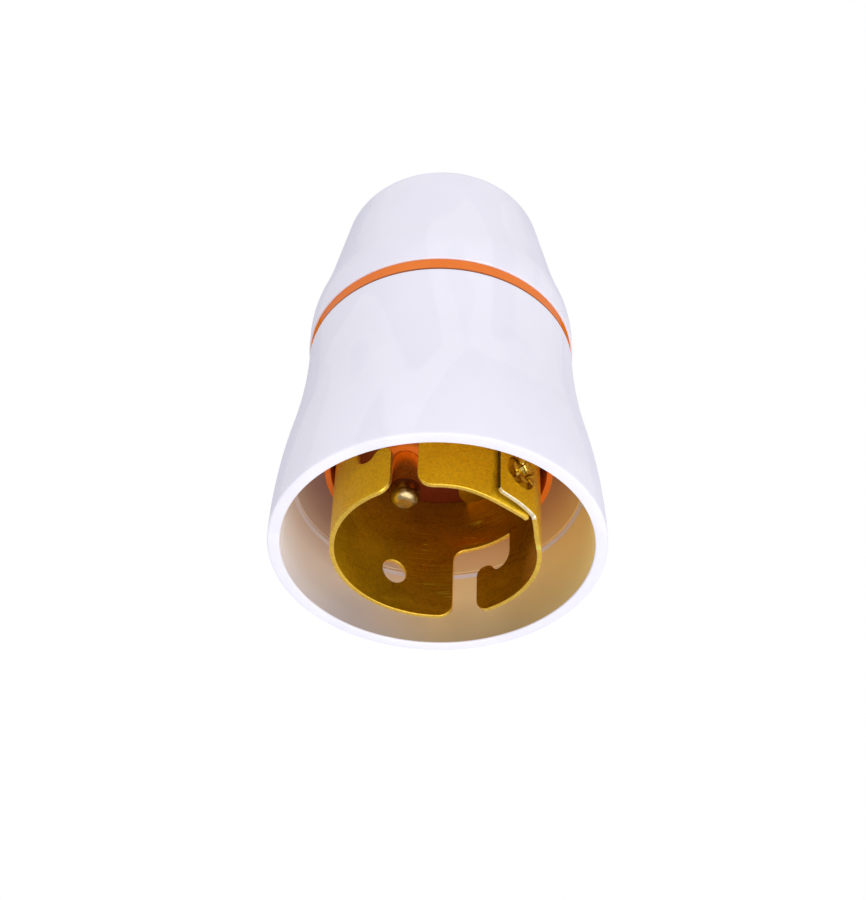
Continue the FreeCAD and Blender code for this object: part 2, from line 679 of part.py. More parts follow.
plunger_profile = [
    (0, "tip_low"),
    ("tip_flat", "tip_low"),
    ("tip_radius", "tip_shoulder", "tip_round", -1),
    ("tip_radius", "tip_top"),
    ("shank_radius", "tip_top"),
    ("shank_radius", "stop_low"),
    ("stop_radius", "stop_low"),
    ("stop_radius", "stop_top"),
    (0, "stop_top"),
]
rivet_profile = [
    (0, "rivet_low"),
    ("rivet_head_flat", "rivet_low"),
    ("rivet_head_radius", "rivet_rim"),
    ("rivet_head_radius", "ear_low"),
    ("rivet_radius", "ear_low"),
    ("rivet_radius", "terminal_floor"),
    ("rivet_head_radius", "terminal_floor"),
    ("rivet_head_flat", "rivet_top"),
    (0, "rivet_top"),
]
screw_profile = [
    (0, "screw_tip"),
    ("screw_tip_radius", "screw_tip"),
    ("screw_radius", "screw_tip_shoulder"),
    ("screw_radius", "screw_head_low"),
    ("screw_head_radius", "screw_head_low"),
    ("screw_head_radius", "screw_top"),
    (0, "screw_top"),
]


def spring_part(name, x, y):
    """A coil spring of drawn six-sided wire."""
    body = new_body(name)
    stand(body, x, y)
    wire = new_sketch(body, name + "_wire", "XZ_Plane")
    outline(wire, [
        ("coil_out", "spring_low"),
        ("coil_out_side", "coil_up"),
        ("coil_in_side", "coil_up"),
        ("coil_in", "spring_low"),
        ("coil_in_side", "coil_down"),
        ("coil_out_side", "coil_down"),
    ])
    coil = body.newObject("PartDesign::AdditiveHelix", name + "_coil")
    coil.Profile = wire
    coil.ReferenceAxis = (wire, ["V_Axis"])
    coil.Mode = "pitch-height-angle"
    coil.Pitch = size("spring_pitch")
    coil.Height = size("spring_rise")
    bind(coil, "Pitch", sized("spring_pitch"))
    bind(coil, "Height", sized("spring_rise"))
    return body


def terminal_part(name, angle, side):
    """A brass block over one spring chamber, cross-bored for the wire and tapped from above."""
    body = new_body(name)
    block = flat_sketch(body, name + "_outline", "terminal_floor", angle)
    outline(block, [
        ("terminal_outer", "terminal_other_half"),
        ("terminal_outer", "terminal_half"),
        ("terminal_inner", "terminal_half"),
        ("terminal_inner", "terminal_other_half"),
    ])
    pad(body, name + "_block", block, "terminal_tall")
    wire = wall_sketch(body, name + "_wire_round", side, "wire_reach")
    circle(wire, "plunger_place", "wire_hole_level", "wire_hole")
    pocket(body, name + "_wire_hole", wire, "wire_drive")
    tapping = flat_sketch(body, name + "_thread_round", "terminal_top", angle)
    circle(tapping, "plunger_place", 0, "thread_hole")
    pocket(body, name + "_thread", tapping, "thread_depth")
    return body


def screw_part(name, x, y):
    body = turned_part(name, screw_profile, x, y)
    drive = flat_sketch(body, name + "_slot_outline", "screw_top", "plunger_angle")
    outline(drive, [
        ("slot_run", "slot_other_half"),
        ("slot_run", "slot_half"),
        ("slot_other_run", "slot_half"),
        ("slot_other_run", "slot_other_half"),
    ])
    pocket(body, name + "_slot", drive, "screw_slot_depth")
    return body


parts = [skirt, cap, insulator, barrel]
for suffix, x, y, angle, side in (
    ("a", "plunger_x", "plunger_y", "plunger_angle", "rib_angle"),
    ("b", "plunger_other_x", "plunger_other_y", "opposite_angle", "rib_opposite"),
):
    parts.append(turned_part("plunger_" + suffix, plunger_profile, x, y))
    parts.append(spring_part("plunger_spring_" + suffix, x, y))
    parts.append(terminal_part("terminal_" + suffix, angle, side))
    parts.append(screw_part("terminal_screw_" + suffix, x, y))
parts.append(turned_part("ear_rivet_a", rivet_profile, "rivet_x", "rivet_y"))
parts.append(turned_part("ear_rivet_b", rivet_profile, "rivet_other_x", "rivet_other_y"))

# ---------------------------------------------------------------- checks and export
doc.recompute()
for item in doc.Objects:
    faults = [state for state in item.State if state in ("Invalid", "Error")]
    if faults:
        raise RuntimeError("{} is {}".format(item.Name, faults))
for body in parts:
    for feature in body.Group:
        if feature.isDerivedFrom("PartDesign::Pocket") or feature.isDerivedFrom("PartDesign::PolarPattern"):
            before = feature.BaseFeature.Shape.Volume
            if abs(before - feature.Shape.Volume) < 1e-3:
                raise RuntimeError("{} changes nothing".format(feature.Name))

os.makedirs("parts", exist_ok=True)
for body in parts:
    shape = body.Shape
    if shape.isNull() or not shape.isValid() or len(shape.Solids) != 1:
        raise RuntimeError("{} is not one valid solid".format(body.Label))
    shape.exportStep("parts/{}.step".format(body.Label))
    box = shape.BoundBox
    print("{:22s} {:9.1f} mm3  x {:6.2f} {:6.2f}  y {:6.2f} {:6.2f}  z {:6.2f} {:6.2f}".format(
        body.Label, shape.Volume, box.XMin, box.XMax, box.YMin, box.YMax, box.ZMin, box.ZMax))
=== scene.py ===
import bisect
import math
import random

import bmesh
import bpy
from mathutils import Matrix, Vector


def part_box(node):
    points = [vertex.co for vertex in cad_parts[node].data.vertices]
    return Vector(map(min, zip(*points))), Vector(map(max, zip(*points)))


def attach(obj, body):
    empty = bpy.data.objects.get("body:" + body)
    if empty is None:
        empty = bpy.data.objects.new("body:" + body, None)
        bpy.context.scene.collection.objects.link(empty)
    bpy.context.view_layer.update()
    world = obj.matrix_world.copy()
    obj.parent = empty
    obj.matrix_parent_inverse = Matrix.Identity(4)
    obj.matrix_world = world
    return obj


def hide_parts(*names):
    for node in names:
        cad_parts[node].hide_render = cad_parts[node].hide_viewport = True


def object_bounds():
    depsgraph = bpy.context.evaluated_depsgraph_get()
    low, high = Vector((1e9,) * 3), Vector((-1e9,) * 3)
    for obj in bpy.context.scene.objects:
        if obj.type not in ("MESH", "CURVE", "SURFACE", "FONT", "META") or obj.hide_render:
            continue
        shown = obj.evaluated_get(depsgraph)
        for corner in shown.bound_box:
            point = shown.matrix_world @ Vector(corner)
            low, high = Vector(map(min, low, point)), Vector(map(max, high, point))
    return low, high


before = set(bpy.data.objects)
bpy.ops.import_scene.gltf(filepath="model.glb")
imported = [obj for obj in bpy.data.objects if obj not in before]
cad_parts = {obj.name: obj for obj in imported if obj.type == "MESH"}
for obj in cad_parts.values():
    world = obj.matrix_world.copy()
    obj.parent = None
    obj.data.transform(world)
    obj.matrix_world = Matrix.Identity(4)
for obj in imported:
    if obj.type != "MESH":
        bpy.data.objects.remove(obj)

cad_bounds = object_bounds()

# ------------------------------------------------------------------ sizes: outlines are in millimetres
MM = 0.001                     # metres in one millimetre
EDGE_ROUND = 0.16              # round of the moulded edges where skirt and cap meet the flange
THREAD_RADIUS = 13.10          # bore of the skirt's and the cap's threaded seats
SHEET = 0.55                   # thickness of the barrel's brass
BARREL_RADIUS = 11.7           # outside of the rolled barrel's true ring
SHEET_BEVEL = 0.07             # bevel along the sheet's cut edges
LATHE_STEPS = 256              # facets round skirt and cap
PIN_STEPS = 64                 # facets round a plunger
PIN_PLACE = 5.2                # a plunger's distance from the axis
PLUNGERS = {"plunger_a": 138.5, "plunger_b": -41.5}

barrel_low, barrel_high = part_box("bayonet_barrel")
mouth_level, top_level = barrel_low[2] / MM, barrel_high[2] / MM
skirt_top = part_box("skirt")[1][2] / MM
cap_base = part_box("cord_cap")[0][2] / MM


def polar(radius, degrees):
    angle = math.radians(degrees)
    return Vector((radius * math.cos(angle), radius * math.sin(angle), 0.0))


# ------------------------------------------------------------------ materials
PLAIN, BLACK = (1, 1, 1), (0, 0, 0)


class Nodes:
    """A short way to wire one material's nodes."""

    def __init__(self, name):
        self.material = bpy.data.materials.new(name)
        self.material.use_nodes = True
        self.tree = self.material.node_tree
        self.shader = self.tree.nodes["Principled BSDF"]

    def new(self, kind, **settings):
        node = self.tree.nodes.new(kind)
        for key, value in settings.items():
            if hasattr(node, key):
                setattr(node, key, value)
            else:
                node.inputs[key].default_value = value
        return node

    def fill(self, socket, value):
        """Gives a socket a number, a colour or another node's output."""
        if isinstance(value, (float, int)):
            socket.default_value = value
        elif isinstance(value, tuple):
            socket.default_value = (*value, 1.0)
        else:
            self.tree.links.new(value, socket)

    def set(self, **values):
        for key, value in values.items():
            self.fill(self.shader.inputs[key.replace("_", " ")], value)

    def coordinates(self, **changes):
        """The object's own coordinates in metres, scaled or turned."""
        mapping = self.new("ShaderNodeMapping")
        for key, value in changes.items():
            mapping.inputs[key].default_value = value
        self.fill(mapping.inputs["Vector"], self.new("ShaderNodeTexCoord").outputs["Object"])
        return mapping.outputs["Vector"]

    def axes(self, **changes):
        parts = self.new("ShaderNodeSeparateXYZ")
        self.fill(parts.inputs["Vector"], self.coordinates(**changes))
        return parts.outputs["X"], parts.outputs["Y"], parts.outputs["Z"]

    def noise(self, scale, detail=2.0, roughness=0.5, stretch=(1, 1, 1), distortion=0.0):
        texture = self.new("ShaderNodeTexNoise", Scale=scale, Detail=detail, Roughness=roughness)
        texture.inputs["Distortion"].default_value = distortion
        self.fill(texture.inputs["Vector"], self.coordinates(Scale=stretch))
        return texture.outputs["Fac"]

    def maths(self, operation, first, second=0.0):
        node = self.new("ShaderNodeMath", operation=operation)
        self.fill(node.inputs[0], first)
        self.fill(node.inputs[1], second)
        return node.outputs[0]

    def distance(self, across, along_it):
        """How far a point lies from the origin of two coordinates."""
        flat = self.new("ShaderNodeCombineXYZ")
        self.fill(flat.inputs["X"], across)
        self.fill(flat.inputs["Y"], along_it)
        length = self.new("ShaderNodeVectorMath", operation="LENGTH")
        self.fill(length.inputs[0], flat.outputs["Vector"])
        return length.outputs["Value"]

    def ramp(self, factor, stops):
        ramp = self.new("ShaderNodeValToRGB")
        elements = ramp.color_ramp.elements
        while len(elements) < len(stops):
            elements.new(0.5)
        for element, (position, colour) in zip(elements, stops):
            element.position = position
            element.color = (*colour, 1.0)
        self.fill(ramp.inputs["Fac"], factor)
        return ramp.outputs["Color"]

    def span(self, factor, low, high, start=0.0, end=1.0):
        """factor from start..end becomes low..high."""
        rule = self.new("ShaderNodeMapRange")
        for key, value in (("From Min", start), ("From Max", end), ("To Min", low), ("To Max", high)):
            rule.inputs[key].default_value = value
        self.fill(rule.inputs["Value"], factor)
        return rule.outputs["Result"]

    def place(self, axis, start, end):
        """0..1 while a coordinate runs from start to end in mm; 1..0 where start lies above end."""
        if start < end:
            return self.span(axis, 0.0, 1.0, start * MM, end * MM)
        return self.span(axis, 1.0, 0.0, end * MM, start * MM)

    def mix(self, factor, first, second, blend="MIX"):
        node = self.new("ShaderNodeMix", data_type="RGBA", blend_type=blend)
        for socket, value in ((node.inputs["Factor"], factor), (node.inputs[6], first), (node.inputs[7], second)):
            self.fill(socket, value)
        return node.outputs[2]

    def times(self, first, second):
        return self.mix(1.0, first, second, "MULTIPLY")

    def bump(self, height, depth, below=None):
        """A bump of a depth in mm, laid over another one where there is one."""
        node = self.new("ShaderNodeBump", Distance=depth * MM, Strength=1.0)
        self.fill(node.inputs["Height"], height)
        if below is not None:
            self.fill(node.inputs["Normal"], below)
        return node.outputs["Normal"]


def moulded_plastic(name, roughness, wave, gloss=0.5):
    """Glossy moulded plastic before its colour: flow waves that bend reflections, and fine orange peel."""
    m = Nodes(name)
    m.set(Roughness=m.span(m.noise(900.0, 3.0), roughness * 0.8, roughness * 1.25, 0.3, 0.7), IOR=1.5)
    flow = m.noise(95.0, 1.5, 0.4, stretch=(1, 1, 0.25), distortion=0.3)
    m.set(Normal=m.bump(m.noise(2600.0, 1.0), 0.002, below=m.bump(flow, wave)))
    facing = m.new("ShaderNodeLayerWeight").outputs["Facing"]
    m.set(Specular_IOR_Level=m.ramp(facing, [(0.0, (gloss,) * 3), (0.42, (gloss,) * 3), (0.78, BLACK)]))
    return m


def mottle(m, deep, pale):
    return m.ramp(m.noise(220.0, 4.0, 0.6), [(0.25, deep), (0.7, pale)])


def moulded_white():
    """The outside of skirt and cap: faintly mottled, with faint painted reflection bands along a flow noise, and a
    little translucent.
    """
    m = moulded_plastic("white_plastic", 0.13, 0.05)
    flow = m.noise(48.0, 2.0, 0.45, stretch=(1, 1, 0.5), distortion=0.5)
    # painted reflection: narrow bands of slightly darker white with crisp edges, standing in for soft wavy
    # reflections on the glossy plastic
    painted_reflection_bands = m.ramp(flow, [(0.47, (0.965, 0.965, 0.97)), (0.485, PLAIN), (0.56, PLAIN), (0.572, (0.975, 0.975, 0.98))])
    m.set(Base_Color=m.times(mottle(m, (0.865, 0.848, 0.93), (0.885, 0.868, 0.95)), painted_reflection_bands))
    m.set(Subsurface_Weight=0.12, Subsurface_Scale=1.0)
    m.shader.inputs["Subsurface Radius"].default_value = (0.0012, 0.0010, 0.0009)
    return m


def lining_white():
    """The inside of the bell: the same plastic with painted light and shade: a painted warm bounce light from the
    brass that it faces, more on its right, painted shade on the far side near the rim, and painted shade deeper in
    the bell on its left.
    """
    m = moulded_plastic("lining_white", 0.2, 0.03)
    x, y, z = m.axes()
    # painted light: warm bounce light from the brass, from pink on the left to gold on the right
    painted_brass_bounce = m.ramp(m.place(x, -17.0, 17.0), [
        (0.0, (0.99, 0.95, 0.96)), (0.25, (0.93, 0.82, 0.76)), (0.5, (0.98, 0.75, 0.42)),
        (0.75, (0.96, 0.72, 0.36)), (1.0, (1.0, 0.80, 0.34))])
    # painted shade on the far side: darkest at the rim, gone about 9 mm up
    rise = m.ramp(m.place(z, 0.0, 9.0), [
        (0.0, (0.48, 0.48, 0.50)), (0.33, (0.68, 0.68, 0.68)), (0.7, (0.97, 0.97, 0.97)), (1.0, PLAIN)])
    far = m.mix(m.place(y, 2.0, 14.0), (1.0, 1.0, 1.0), rise)
    # painted shade deeper in the bell, laid on the left side only
    deep = m.ramp(m.place(z, 2.0, 12.0), [(0.0, PLAIN), (1.0, (0.74, 0.66, 0.60))])
    left = m.mix(m.place(x, -4.0, -13.0), (1.0, 1.0, 1.0), deep)
    m.set(Base_Color=m.times(m.times(painted_brass_bounce, far), left))
    return m


def moulded_orange():
    """The insulator: mottled orange outside, with a painted shadow where its flange meets the skirt; on its ceiling
    in the collar, painted light round the plunger bores fading to painted shade away from them.
    """
    m = moulded_plastic("orange_plastic", 0.3, 0.03, 0.25)
    x, y, z = m.axes()
    # painted shadow: a dark band about 28.55 to 28.75 mm up, in the gap where the flange meets the skirt's top
    painted_seam_shadow = m.ramp(m.place(z, 27.5, 30.0), [
        (0.40, PLAIN), (0.42, (0.42, 0.40, 0.40)), (0.50, (0.42, 0.40, 0.40)), (0.56, PLAIN)])
    bright = m.times(mottle(m, (0.80, 0.165, 0.006), (0.87, 0.20, 0.012)), painted_seam_shadow)
    # both bores lie on one line through the axis, so one turn brings them to +X and -X
    over, aside, _ = m.axes(Rotation=(0, 0, math.radians(-PLUNGERS["plunger_a"])))
    past_bore = m.span(m.maths("ABSOLUTE", over), -PIN_PLACE * MM, (20.0 - PIN_PLACE) * MM, 0.0, 20.0 * MM)
    from_bore = m.place(m.distance(past_bore, aside), 2.2, 3.6)
    # painted light round the plunger bores, fading to dark red painted shade 3.6 mm from them
    painted_ceiling_light_and_shade = m.ramp(from_bore, [(0.0, (0.82, 0.18, 0.02)), (1.0, (0.13, 0.015, 0.003))])
    # the painted light and shade cover only the ceiling inside the collar, between about 12.5 and 18 mm up
    in_collar = m.place(m.distance(x, y), 12.4, 11.9)
    ceiling = m.maths("MULTIPLY", m.maths("MULTIPLY", in_collar, m.place(z, 12.5, 16.0)), m.place(z, 18.0, 17.2))
    m.set(Base_Color=m.mix(ceiling, bright, painted_ceiling_light_and_shade))
    return m


def sheet_brass(name, bright, deep, roughness, metal=1.0, crumple=(130.0, 0.03), painted_shade_colour=None):
    """Sheet brass: rolling grain, patina clouds, hairline scratches, smears of duller gloss, and dents of a scale and
    depth; a given shade colour darkens the base colour from x -11 mm to -2 mm as painted shade.
    """
    m = Nodes(name)
    grain = m.noise(1500.0, 2.0, 0.5, stretch=(1, 1, 5))
    tone = m.mix(0.35, m.noise(150.0, 5.0, 0.62), grain)
    speckle = m.ramp(m.noise(3400.0, 1.0), [(0.3, (0.80, 0.78, 0.70)), (0.65, PLAIN)])
    ground = m.times(m.ramp(tone, [(0.3, deep), (0.62, bright)]), speckle)
    # painted shade: the base colour darkens from x -11 mm to -2 mm and stays dark to the right, so the left side
    # reads as lit
    if painted_shade_colour is not None:
        x, _, _ = m.axes()
        ground = m.times(ground, m.ramp(m.place(x, -11.0, -2.0), [(0.0, PLAIN), (1.0, painted_shade_colour)]))
    hair = m.noise(150.0, 1.0, 0.3, stretch=(0.5, 0.5, 9))
    line = m.ramp(hair, [(0.487, BLACK), (0.5, PLAIN), (0.513, BLACK)])
    scratch = m.times(line, m.span(m.noise(130.0, 1.0), 0.0, 1.0, 0.57, 0.68))
    lit = tuple(min(1.0, value * 1.25 + 0.05) for value in bright)
    m.set(Base_Color=m.mix(scratch, ground, lit))
    smear = m.noise(260.0, 3.0, 0.5, stretch=(0.6, 0.6, 2.2), distortion=0.6)
    m.set(Roughness=m.span(smear, roughness * 0.8, roughness * 1.4, 0.35, 0.7))
    dent_scale, dent_depth = crumple
    dents = m.bump(m.noise(dent_scale, 1.5), dent_depth, below=m.bump(grain, 0.0004))
    m.set(Normal=dents, Metallic=metal)
    return m


def plated_steel(name):
    m = Nodes(name)
    lines = m.noise(1500.0, 3.0, 0.6, stretch=(1, 1, 6))
    m.set(Base_Color=m.ramp(lines, [(0.3, (0.44, 0.44, 0.46)), (0.7, (0.66, 0.66, 0.68))]))
    m.set(Roughness=m.span(lines, 0.2, 0.38), Metallic=1.0, Normal=m.bump(lines, 0.003))
    return m


white = moulded_white()
lining = lining_white()
orange = moulded_orange()
brass = sheet_brass("barrel_brass", (1.0, 0.68, 0.012), (0.88, 0.54, 0.008), 0.32, 0.66)
# the inside of the barrel, with painted shade over all but its left side
inner_brass = sheet_brass("inner_brass", (0.98, 0.64, 0.008), (0.66, 0.40, 0.005), 0.32, 0.74,
                          painted_shade_colour=(0.68, 0.50, 0.3))
cut_brass = sheet_brass("cut_brass", (1.0, 0.66, 0.10), (0.94, 0.56, 0.07), 0.34, 0.9)
worn_brass = sheet_brass("worn_brass", (0.95, 0.88, 0.70), (0.84, 0.68, 0.36), 0.3, 0.9)
# painted shadow: near-black brass for the free lap's cut edge, which lies in shade
painted_shadow_brass = sheet_brass("painted_shadow_brass", (0.13, 0.07, 0.006), (0.06, 0.03, 0.004), 0.8, 0.7)
burst_brass = sheet_brass("burst_brass", (1.0, 0.80, 0.20), (0.40, 0.22, 0.02), 0.2, 1.0, (620.0, 0.7))
turned_brass = sheet_brass("turned_brass", (0.55, 0.43, 0.23), (0.30, 0.21, 0.08), 0.22)
# a lighter copy of the plunger's brass, as painted light on the shank
painted_light_shank_brass = sheet_brass("painted_light_shank_brass", (1.0, 0.66, 0.08), (0.90, 0.54, 0.05), 0.26, 0.9)
steel = plated_steel("plated_steel")

# the barrel's finishes in the order of its faces' material numbers
OUTSIDE, CUT, INSIDE, WORN, PAINTED_SHADOW = range(5)
barrel_finishes = (brass, cut_brass, inner_brass, worn_brass, painted_shadow_brass)


# ------------------------------------------------------------------ mesh helpers
def add_object(name, mesh, body, slot, *finishes):
    piece = bpy.data.objects.new(name, mesh)
    bpy.context.scene.collection.objects.link(piece)
    for finish in finishes:
        mesh.materials.append(finish.material)
    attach(piece, body)
    return piece


def smooth(mesh, degrees=38.0):
    mesh.shade_smooth()
    mesh.set_sharp_from_angle(angle=math.radians(degrees))


def arc(start, end, radius, side, steps):
    """Points after start on the arc to end. Side -1 bulges to the right of travel and +1 to the left."""
    start, end = Vector(start), Vector(end)
    chord = end - start
    across = Vector((-chord.y, chord.x)).normalized()
    depth = math.sqrt(max(radius ** 2 - chord.length_squared / 4, 0.0))
    centre = (start + end) / 2 - across * depth * side
    first = start - centre
    turn = first.angle_signed(end - centre)
    return [tuple(centre + Matrix.Rotation(-turn * step / steps, 2) @ first) for step in range(1, steps + 1)]


def profile(corners):
    """Closed (radius, height) outline; a corner with a radius, side and steps is reached by an arc."""
    points = []
    for index, corner in enumerate(corners):
        if len(corner) == 2:
            points.append(corner)
        else:
            points.extend(arc(corners[index - 1][:2], corner[:2], *corner[2:]))
    return points


def lathe(points, around=LATHE_STEPS):
    """A closed ring from a closed (radius, height) outline, or a solid one where the outline meets the axis."""
    on_axis = 1e-6
    mesh = bmesh.new()
    poles = {index: mesh.verts.new((0, 0, height * MM))
             for index, (radius, height) in enumerate(points) if radius < on_axis}
    columns = []
    for turn in range(around):
        angle = 2 * math.pi * turn / around
        columns.append([
            poles[index] if index in poles
            else mesh.verts.new((radius * MM * math.cos(angle), radius * MM * math.sin(angle), height * MM))
            for index, (radius, height) in enumerate(points)])
    for turn in range(around):
        here, there = columns[turn], columns[(turn + 1) % around]
        for index in range(len(points)):
            following = (index + 1) % len(points)
            corners = dict.fromkeys([here[index], there[index], there[following], here[following]])
            if len(corners) > 2:
                mesh.faces.new(list(corners))
    bmesh.ops.recalc_face_normals(mesh, faces=mesh.faces)
    made = bpy.data.meshes.new("lathe")
    mesh.to_mesh(made)
    mesh.free()
    return made


# ------------------------------------------------------------------ skirt and cord cap
BELL_CURVE = 75.69                       # radius of both halves of the bell's swell
RING_LINE = (9.12, 9.55)                 # the step inside the bell, just below its groove, kept in the outside white as a painted bright line
LEDGE = 19.65                            # where the bell's inside ends and the neck begins
skirt_radius, bell_top = 15.95, 28.2

skirt_outline = profile([
    (18.35, 0.0),
    (18.6, 0.25, 0.25, -1, 6),
    (17.275, 14.1, BELL_CURVE, -1, 32),
    (skirt_radius, bell_top, BELL_CURVE, 1, 32),
    (skirt_radius, skirt_top - EDGE_ROUND),
    (skirt_radius - EDGE_ROUND, skirt_top, EDGE_ROUND, -1, 5),
    (THREAD_RADIUS + EDGE_ROUND, skirt_top),
    (THREAD_RADIUS, skirt_top - EDGE_ROUND, EDGE_ROUND, -1, 5),
    (THREAD_RADIUS, LEDGE),
    (14.95, LEDGE),
    (16.37, 9.85),
    (16.52, 9.72),
    (16.4, 9.6),
    (16.42, 9.5),
    (16.64, 9.1),
    (17.2, 0.2),
    (17.4, 0.0, 0.2, -1, 5),
])
skirt = add_object("skirt_shell", lathe(skirt_outline), "skirt", "white_plastic", white, lining)
# the inside of the bell takes the lining, a copy of the white plastic with painted light and shade; the ring line
# keeps the outside white, which stands out against it as a painted bright line
for face in skirt.data.polygons:
    level = face.center.z
    inward = face.normal.x * face.center.x + face.normal.y * face.center.y < 0
    on_line = RING_LINE[0] * MM < level < RING_LINE[1] * MM
    in_bell = 0.3 * MM < level < (LEDGE + 0.05) * MM
    face.material_index = 1 if inward and in_bell and not on_line else 0
smooth(skirt.data)
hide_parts("skirt")

cap_radius, cap_top = 16.12, 56.62
boss_radius, hole_radius, boss_round = 5.6, 4.0, 0.6

cap_outline = profile([
    (THREAD_RADIUS + EDGE_ROUND, cap_base),
    (cap_radius - EDGE_ROUND, cap_base),
    (cap_radius, cap_base + EDGE_ROUND, EDGE_ROUND, -1, 5),
    (cap_radius, 32.1),
    (15.60, 36.2, 14.0, -1, 24),
    (14.23, 41.8, 60.0, 1, 16),
    (12.53, 50.7),
    (10.20, 53.05, 3.0, -1, 14),
    (boss_radius, 54.02),
    (boss_radius, cap_top - boss_round),
    (boss_radius - boss_round, cap_top, boss_round, -1, 6),
    (hole_radius + boss_round, cap_top),
    (hole_radius, cap_top - boss_round, boss_round, -1, 6),
    (hole_radius, 52.32),
    (8.50, 51.35),
    (10.83, 49.8),
    (THREAD_RADIUS, 38.5),
    (THREAD_RADIUS, cap_base + EDGE_ROUND),
    (THREAD_RADIUS + EDGE_ROUND, cap_base, EDGE_ROUND, -1, 5),
])
cap = add_object("cord_cap_shell", lathe(cap_outline), "cord_cap", "white_plastic", white)
smooth(cap.data)
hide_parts("cord_cap")

# ------------------------------------------------------------------ bayonet barrel
LAP_EDGE, LAP_STEP, STEP_FOOT, INNER_END = -57.0, -31.0, -12.0, 326.5     # bearings along the rolled sheet
PATH_STEP = 0.25                         # degrees between the points of its path
MOUTH_SHIFT, MOUTH_TILT = (-0.2, 0.85), 0.03                              # how far askew the mouth sits
SLACK_RADIUS, SLACK_HEIGHT = 11.72, 4.5  # the sprung-in end lies on the ring again this high above the mouth
WALL_RUN = [                             # bearing and outside radius, measured round the mouth
    (-59.0, 12.36), (-50.8, 12.33), (-44.0, 12.40), (-37.0, 12.47), (-31.5, 12.51), (-24.7, 12.08), (-18.5, 11.74),
    (-12.0, 11.62), (-4.0, 11.64), (10.0, 11.70), (250.0, 11.70), (262.0, 11.62), (268.0, 11.54), (274.0, 11.58),
    (282.0, 11.60), (288.0, 11.56), (294.0, 11.46), (300.0, 11.40), (306.0, 11.36), (313.0, 11.42), (320.0, 11.62),
    (324.0, 11.82), (326.5, 11.88),
]
ring_middle = BARREL_RADIUS - SHEET / 2


def wall_radius(angle):
    """The rolled sheet's outside radius at a bearing along its run, eased between measured places."""
    index = min(max(bisect.bisect_right(WALL_RUN, (angle, math.inf)) - 1, 0), len(WALL_RUN) - 2)
    (start, first), (end, last) = WALL_RUN[index:index + 2]
    before, after = WALL_RUN[max(index - 1, 0)], WALL_RUN[min(index + 2, len(WALL_RUN) - 1)]
    slope_in = (last - before[1]) / (end - before[0])
    slope_out = (after[1] - first) / (after[0] - start)
    span = end - start
    share = (angle - start) / span
    keep = 2 * share ** 3 - 3 * share ** 2 + 1
    return (keep * first + (1 - keep) * last + (share ** 3 - 2 * share ** 2 + share) * span * slope_in
            + (share ** 3 - share ** 2) * span * slope_out)


# the middle line of the rolled sheet, seen from above: free lap, step, ring and inner end
path_points = int((INNER_END - LAP_EDGE) / PATH_STEP) + 1
bearings = [LAP_EDGE + PATH_STEP * step for step in range(path_points)]
path = [polar(wall_radius(angle) - SHEET / 2, angle) for angle in bearings]
path_run = [0.0]
for before, after in zip(path, path[1:]):
    path_run.append(path_run[-1] + (after - before).length)
path_side = []
for index in range(len(path)):
    travel = path[min(index + 1, len(path) - 1)] - path[max(index - 1, 0)]
    path_side.append(Vector((travel.y, -travel.x, 0)).normalized())
sheet_end = path_run[-1]


def along(angle):
    """How far along the sheet the path has run at a bearing, counted from the free lap's edge."""
    return path_run[min(max(round((angle - LAP_EDGE) / PATH_STEP), 0), len(path) - 1)]


def barrel_spot(x, y, height):
    """The barrel is pushed askew in its collar, fading to nothing at its top: mm in, metres out."""
    share = (top_level - height) / (top_level - mouth_level)
    return Vector((x + MOUTH_SHIFT[0] * share, y + MOUTH_SHIFT[1] * share, height - MOUTH_TILT * x * share)) * MM


def rolled(run, height, out):
    """Where a point of the flat sheet goes when it is rolled up: mm in, metres out."""
    index = min(max(bisect.bisect_right(path_run, run) - 1, 0), len(path) - 2)
    share = (run - path_run[index]) / (path_run[index + 1] - path_run[index])
    spot = path[index].lerp(path[index + 1], share)
    side = path_side[index].lerp(path_side[index + 1], share).normalized()
    slack = SLACK_RADIUS - SHEET / 2 - spot.length
    if run > sheet_end / 2 and slack > 0:
        out += slack * min(1.0, (height - mouth_level) / SLACK_HEIGHT)
    spot = spot + side * out
    return barrel_spot(spot.x, spot.y, height)


def slot_outline(bearing):
    """One bayonet slot: up from its mouth, over the hump, round the pin's rest, along its roof and back down."""
    near, far = 0.91, 3.81               # the leg's sides, from the slot's bearing
    mouth_round, roof, roof_round = 1.5, 9.0, 1.3
    hump, hump_round, hump_end = (-0.29, 4.8), 1.2, (-2.06, 5.75)
    rest, rest_round, leg = (-2.06, 4.95), 0.8, 1.755
    shape = [(-0.59, 0.0)]
    shape += arc(shape[-1], (near, mouth_round), mouth_round, -1, 8)
    shape += [(near, hump[1])]
    shape += arc(shape[-1], tuple(Vector(hump).lerp(Vector(hump_end), 0.6)), hump_round, -1, 10)
    shape += arc(shape[-1], rest, rest_round, 1, 8)
    shape += arc(shape[-1], (rest[0] - leg, rest[1] + leg), leg, 1, 12)
    shape += [(-3.815, roof), (far - roof_round, roof)]
    shape += arc(shape[-1], (far, roof - roof_round), roof_round, 1, 8)
    shape += [(far, mouth_round)]
    shape += arc(shape[-1], (far + mouth_round, 0.0), mouth_round, -1, 8)
    centre = along(bearing)
    return [(centre + ring_middle * math.asin(x / ring_middle), mouth_level + up) for x, up in shape]


def circle_outline(run, height, radius, count=32):
    return [(run + radius * math.cos(2 * math.pi * k / count), height + radius * math.sin(2 * math.pi * k / count))
            for k in range(count)]


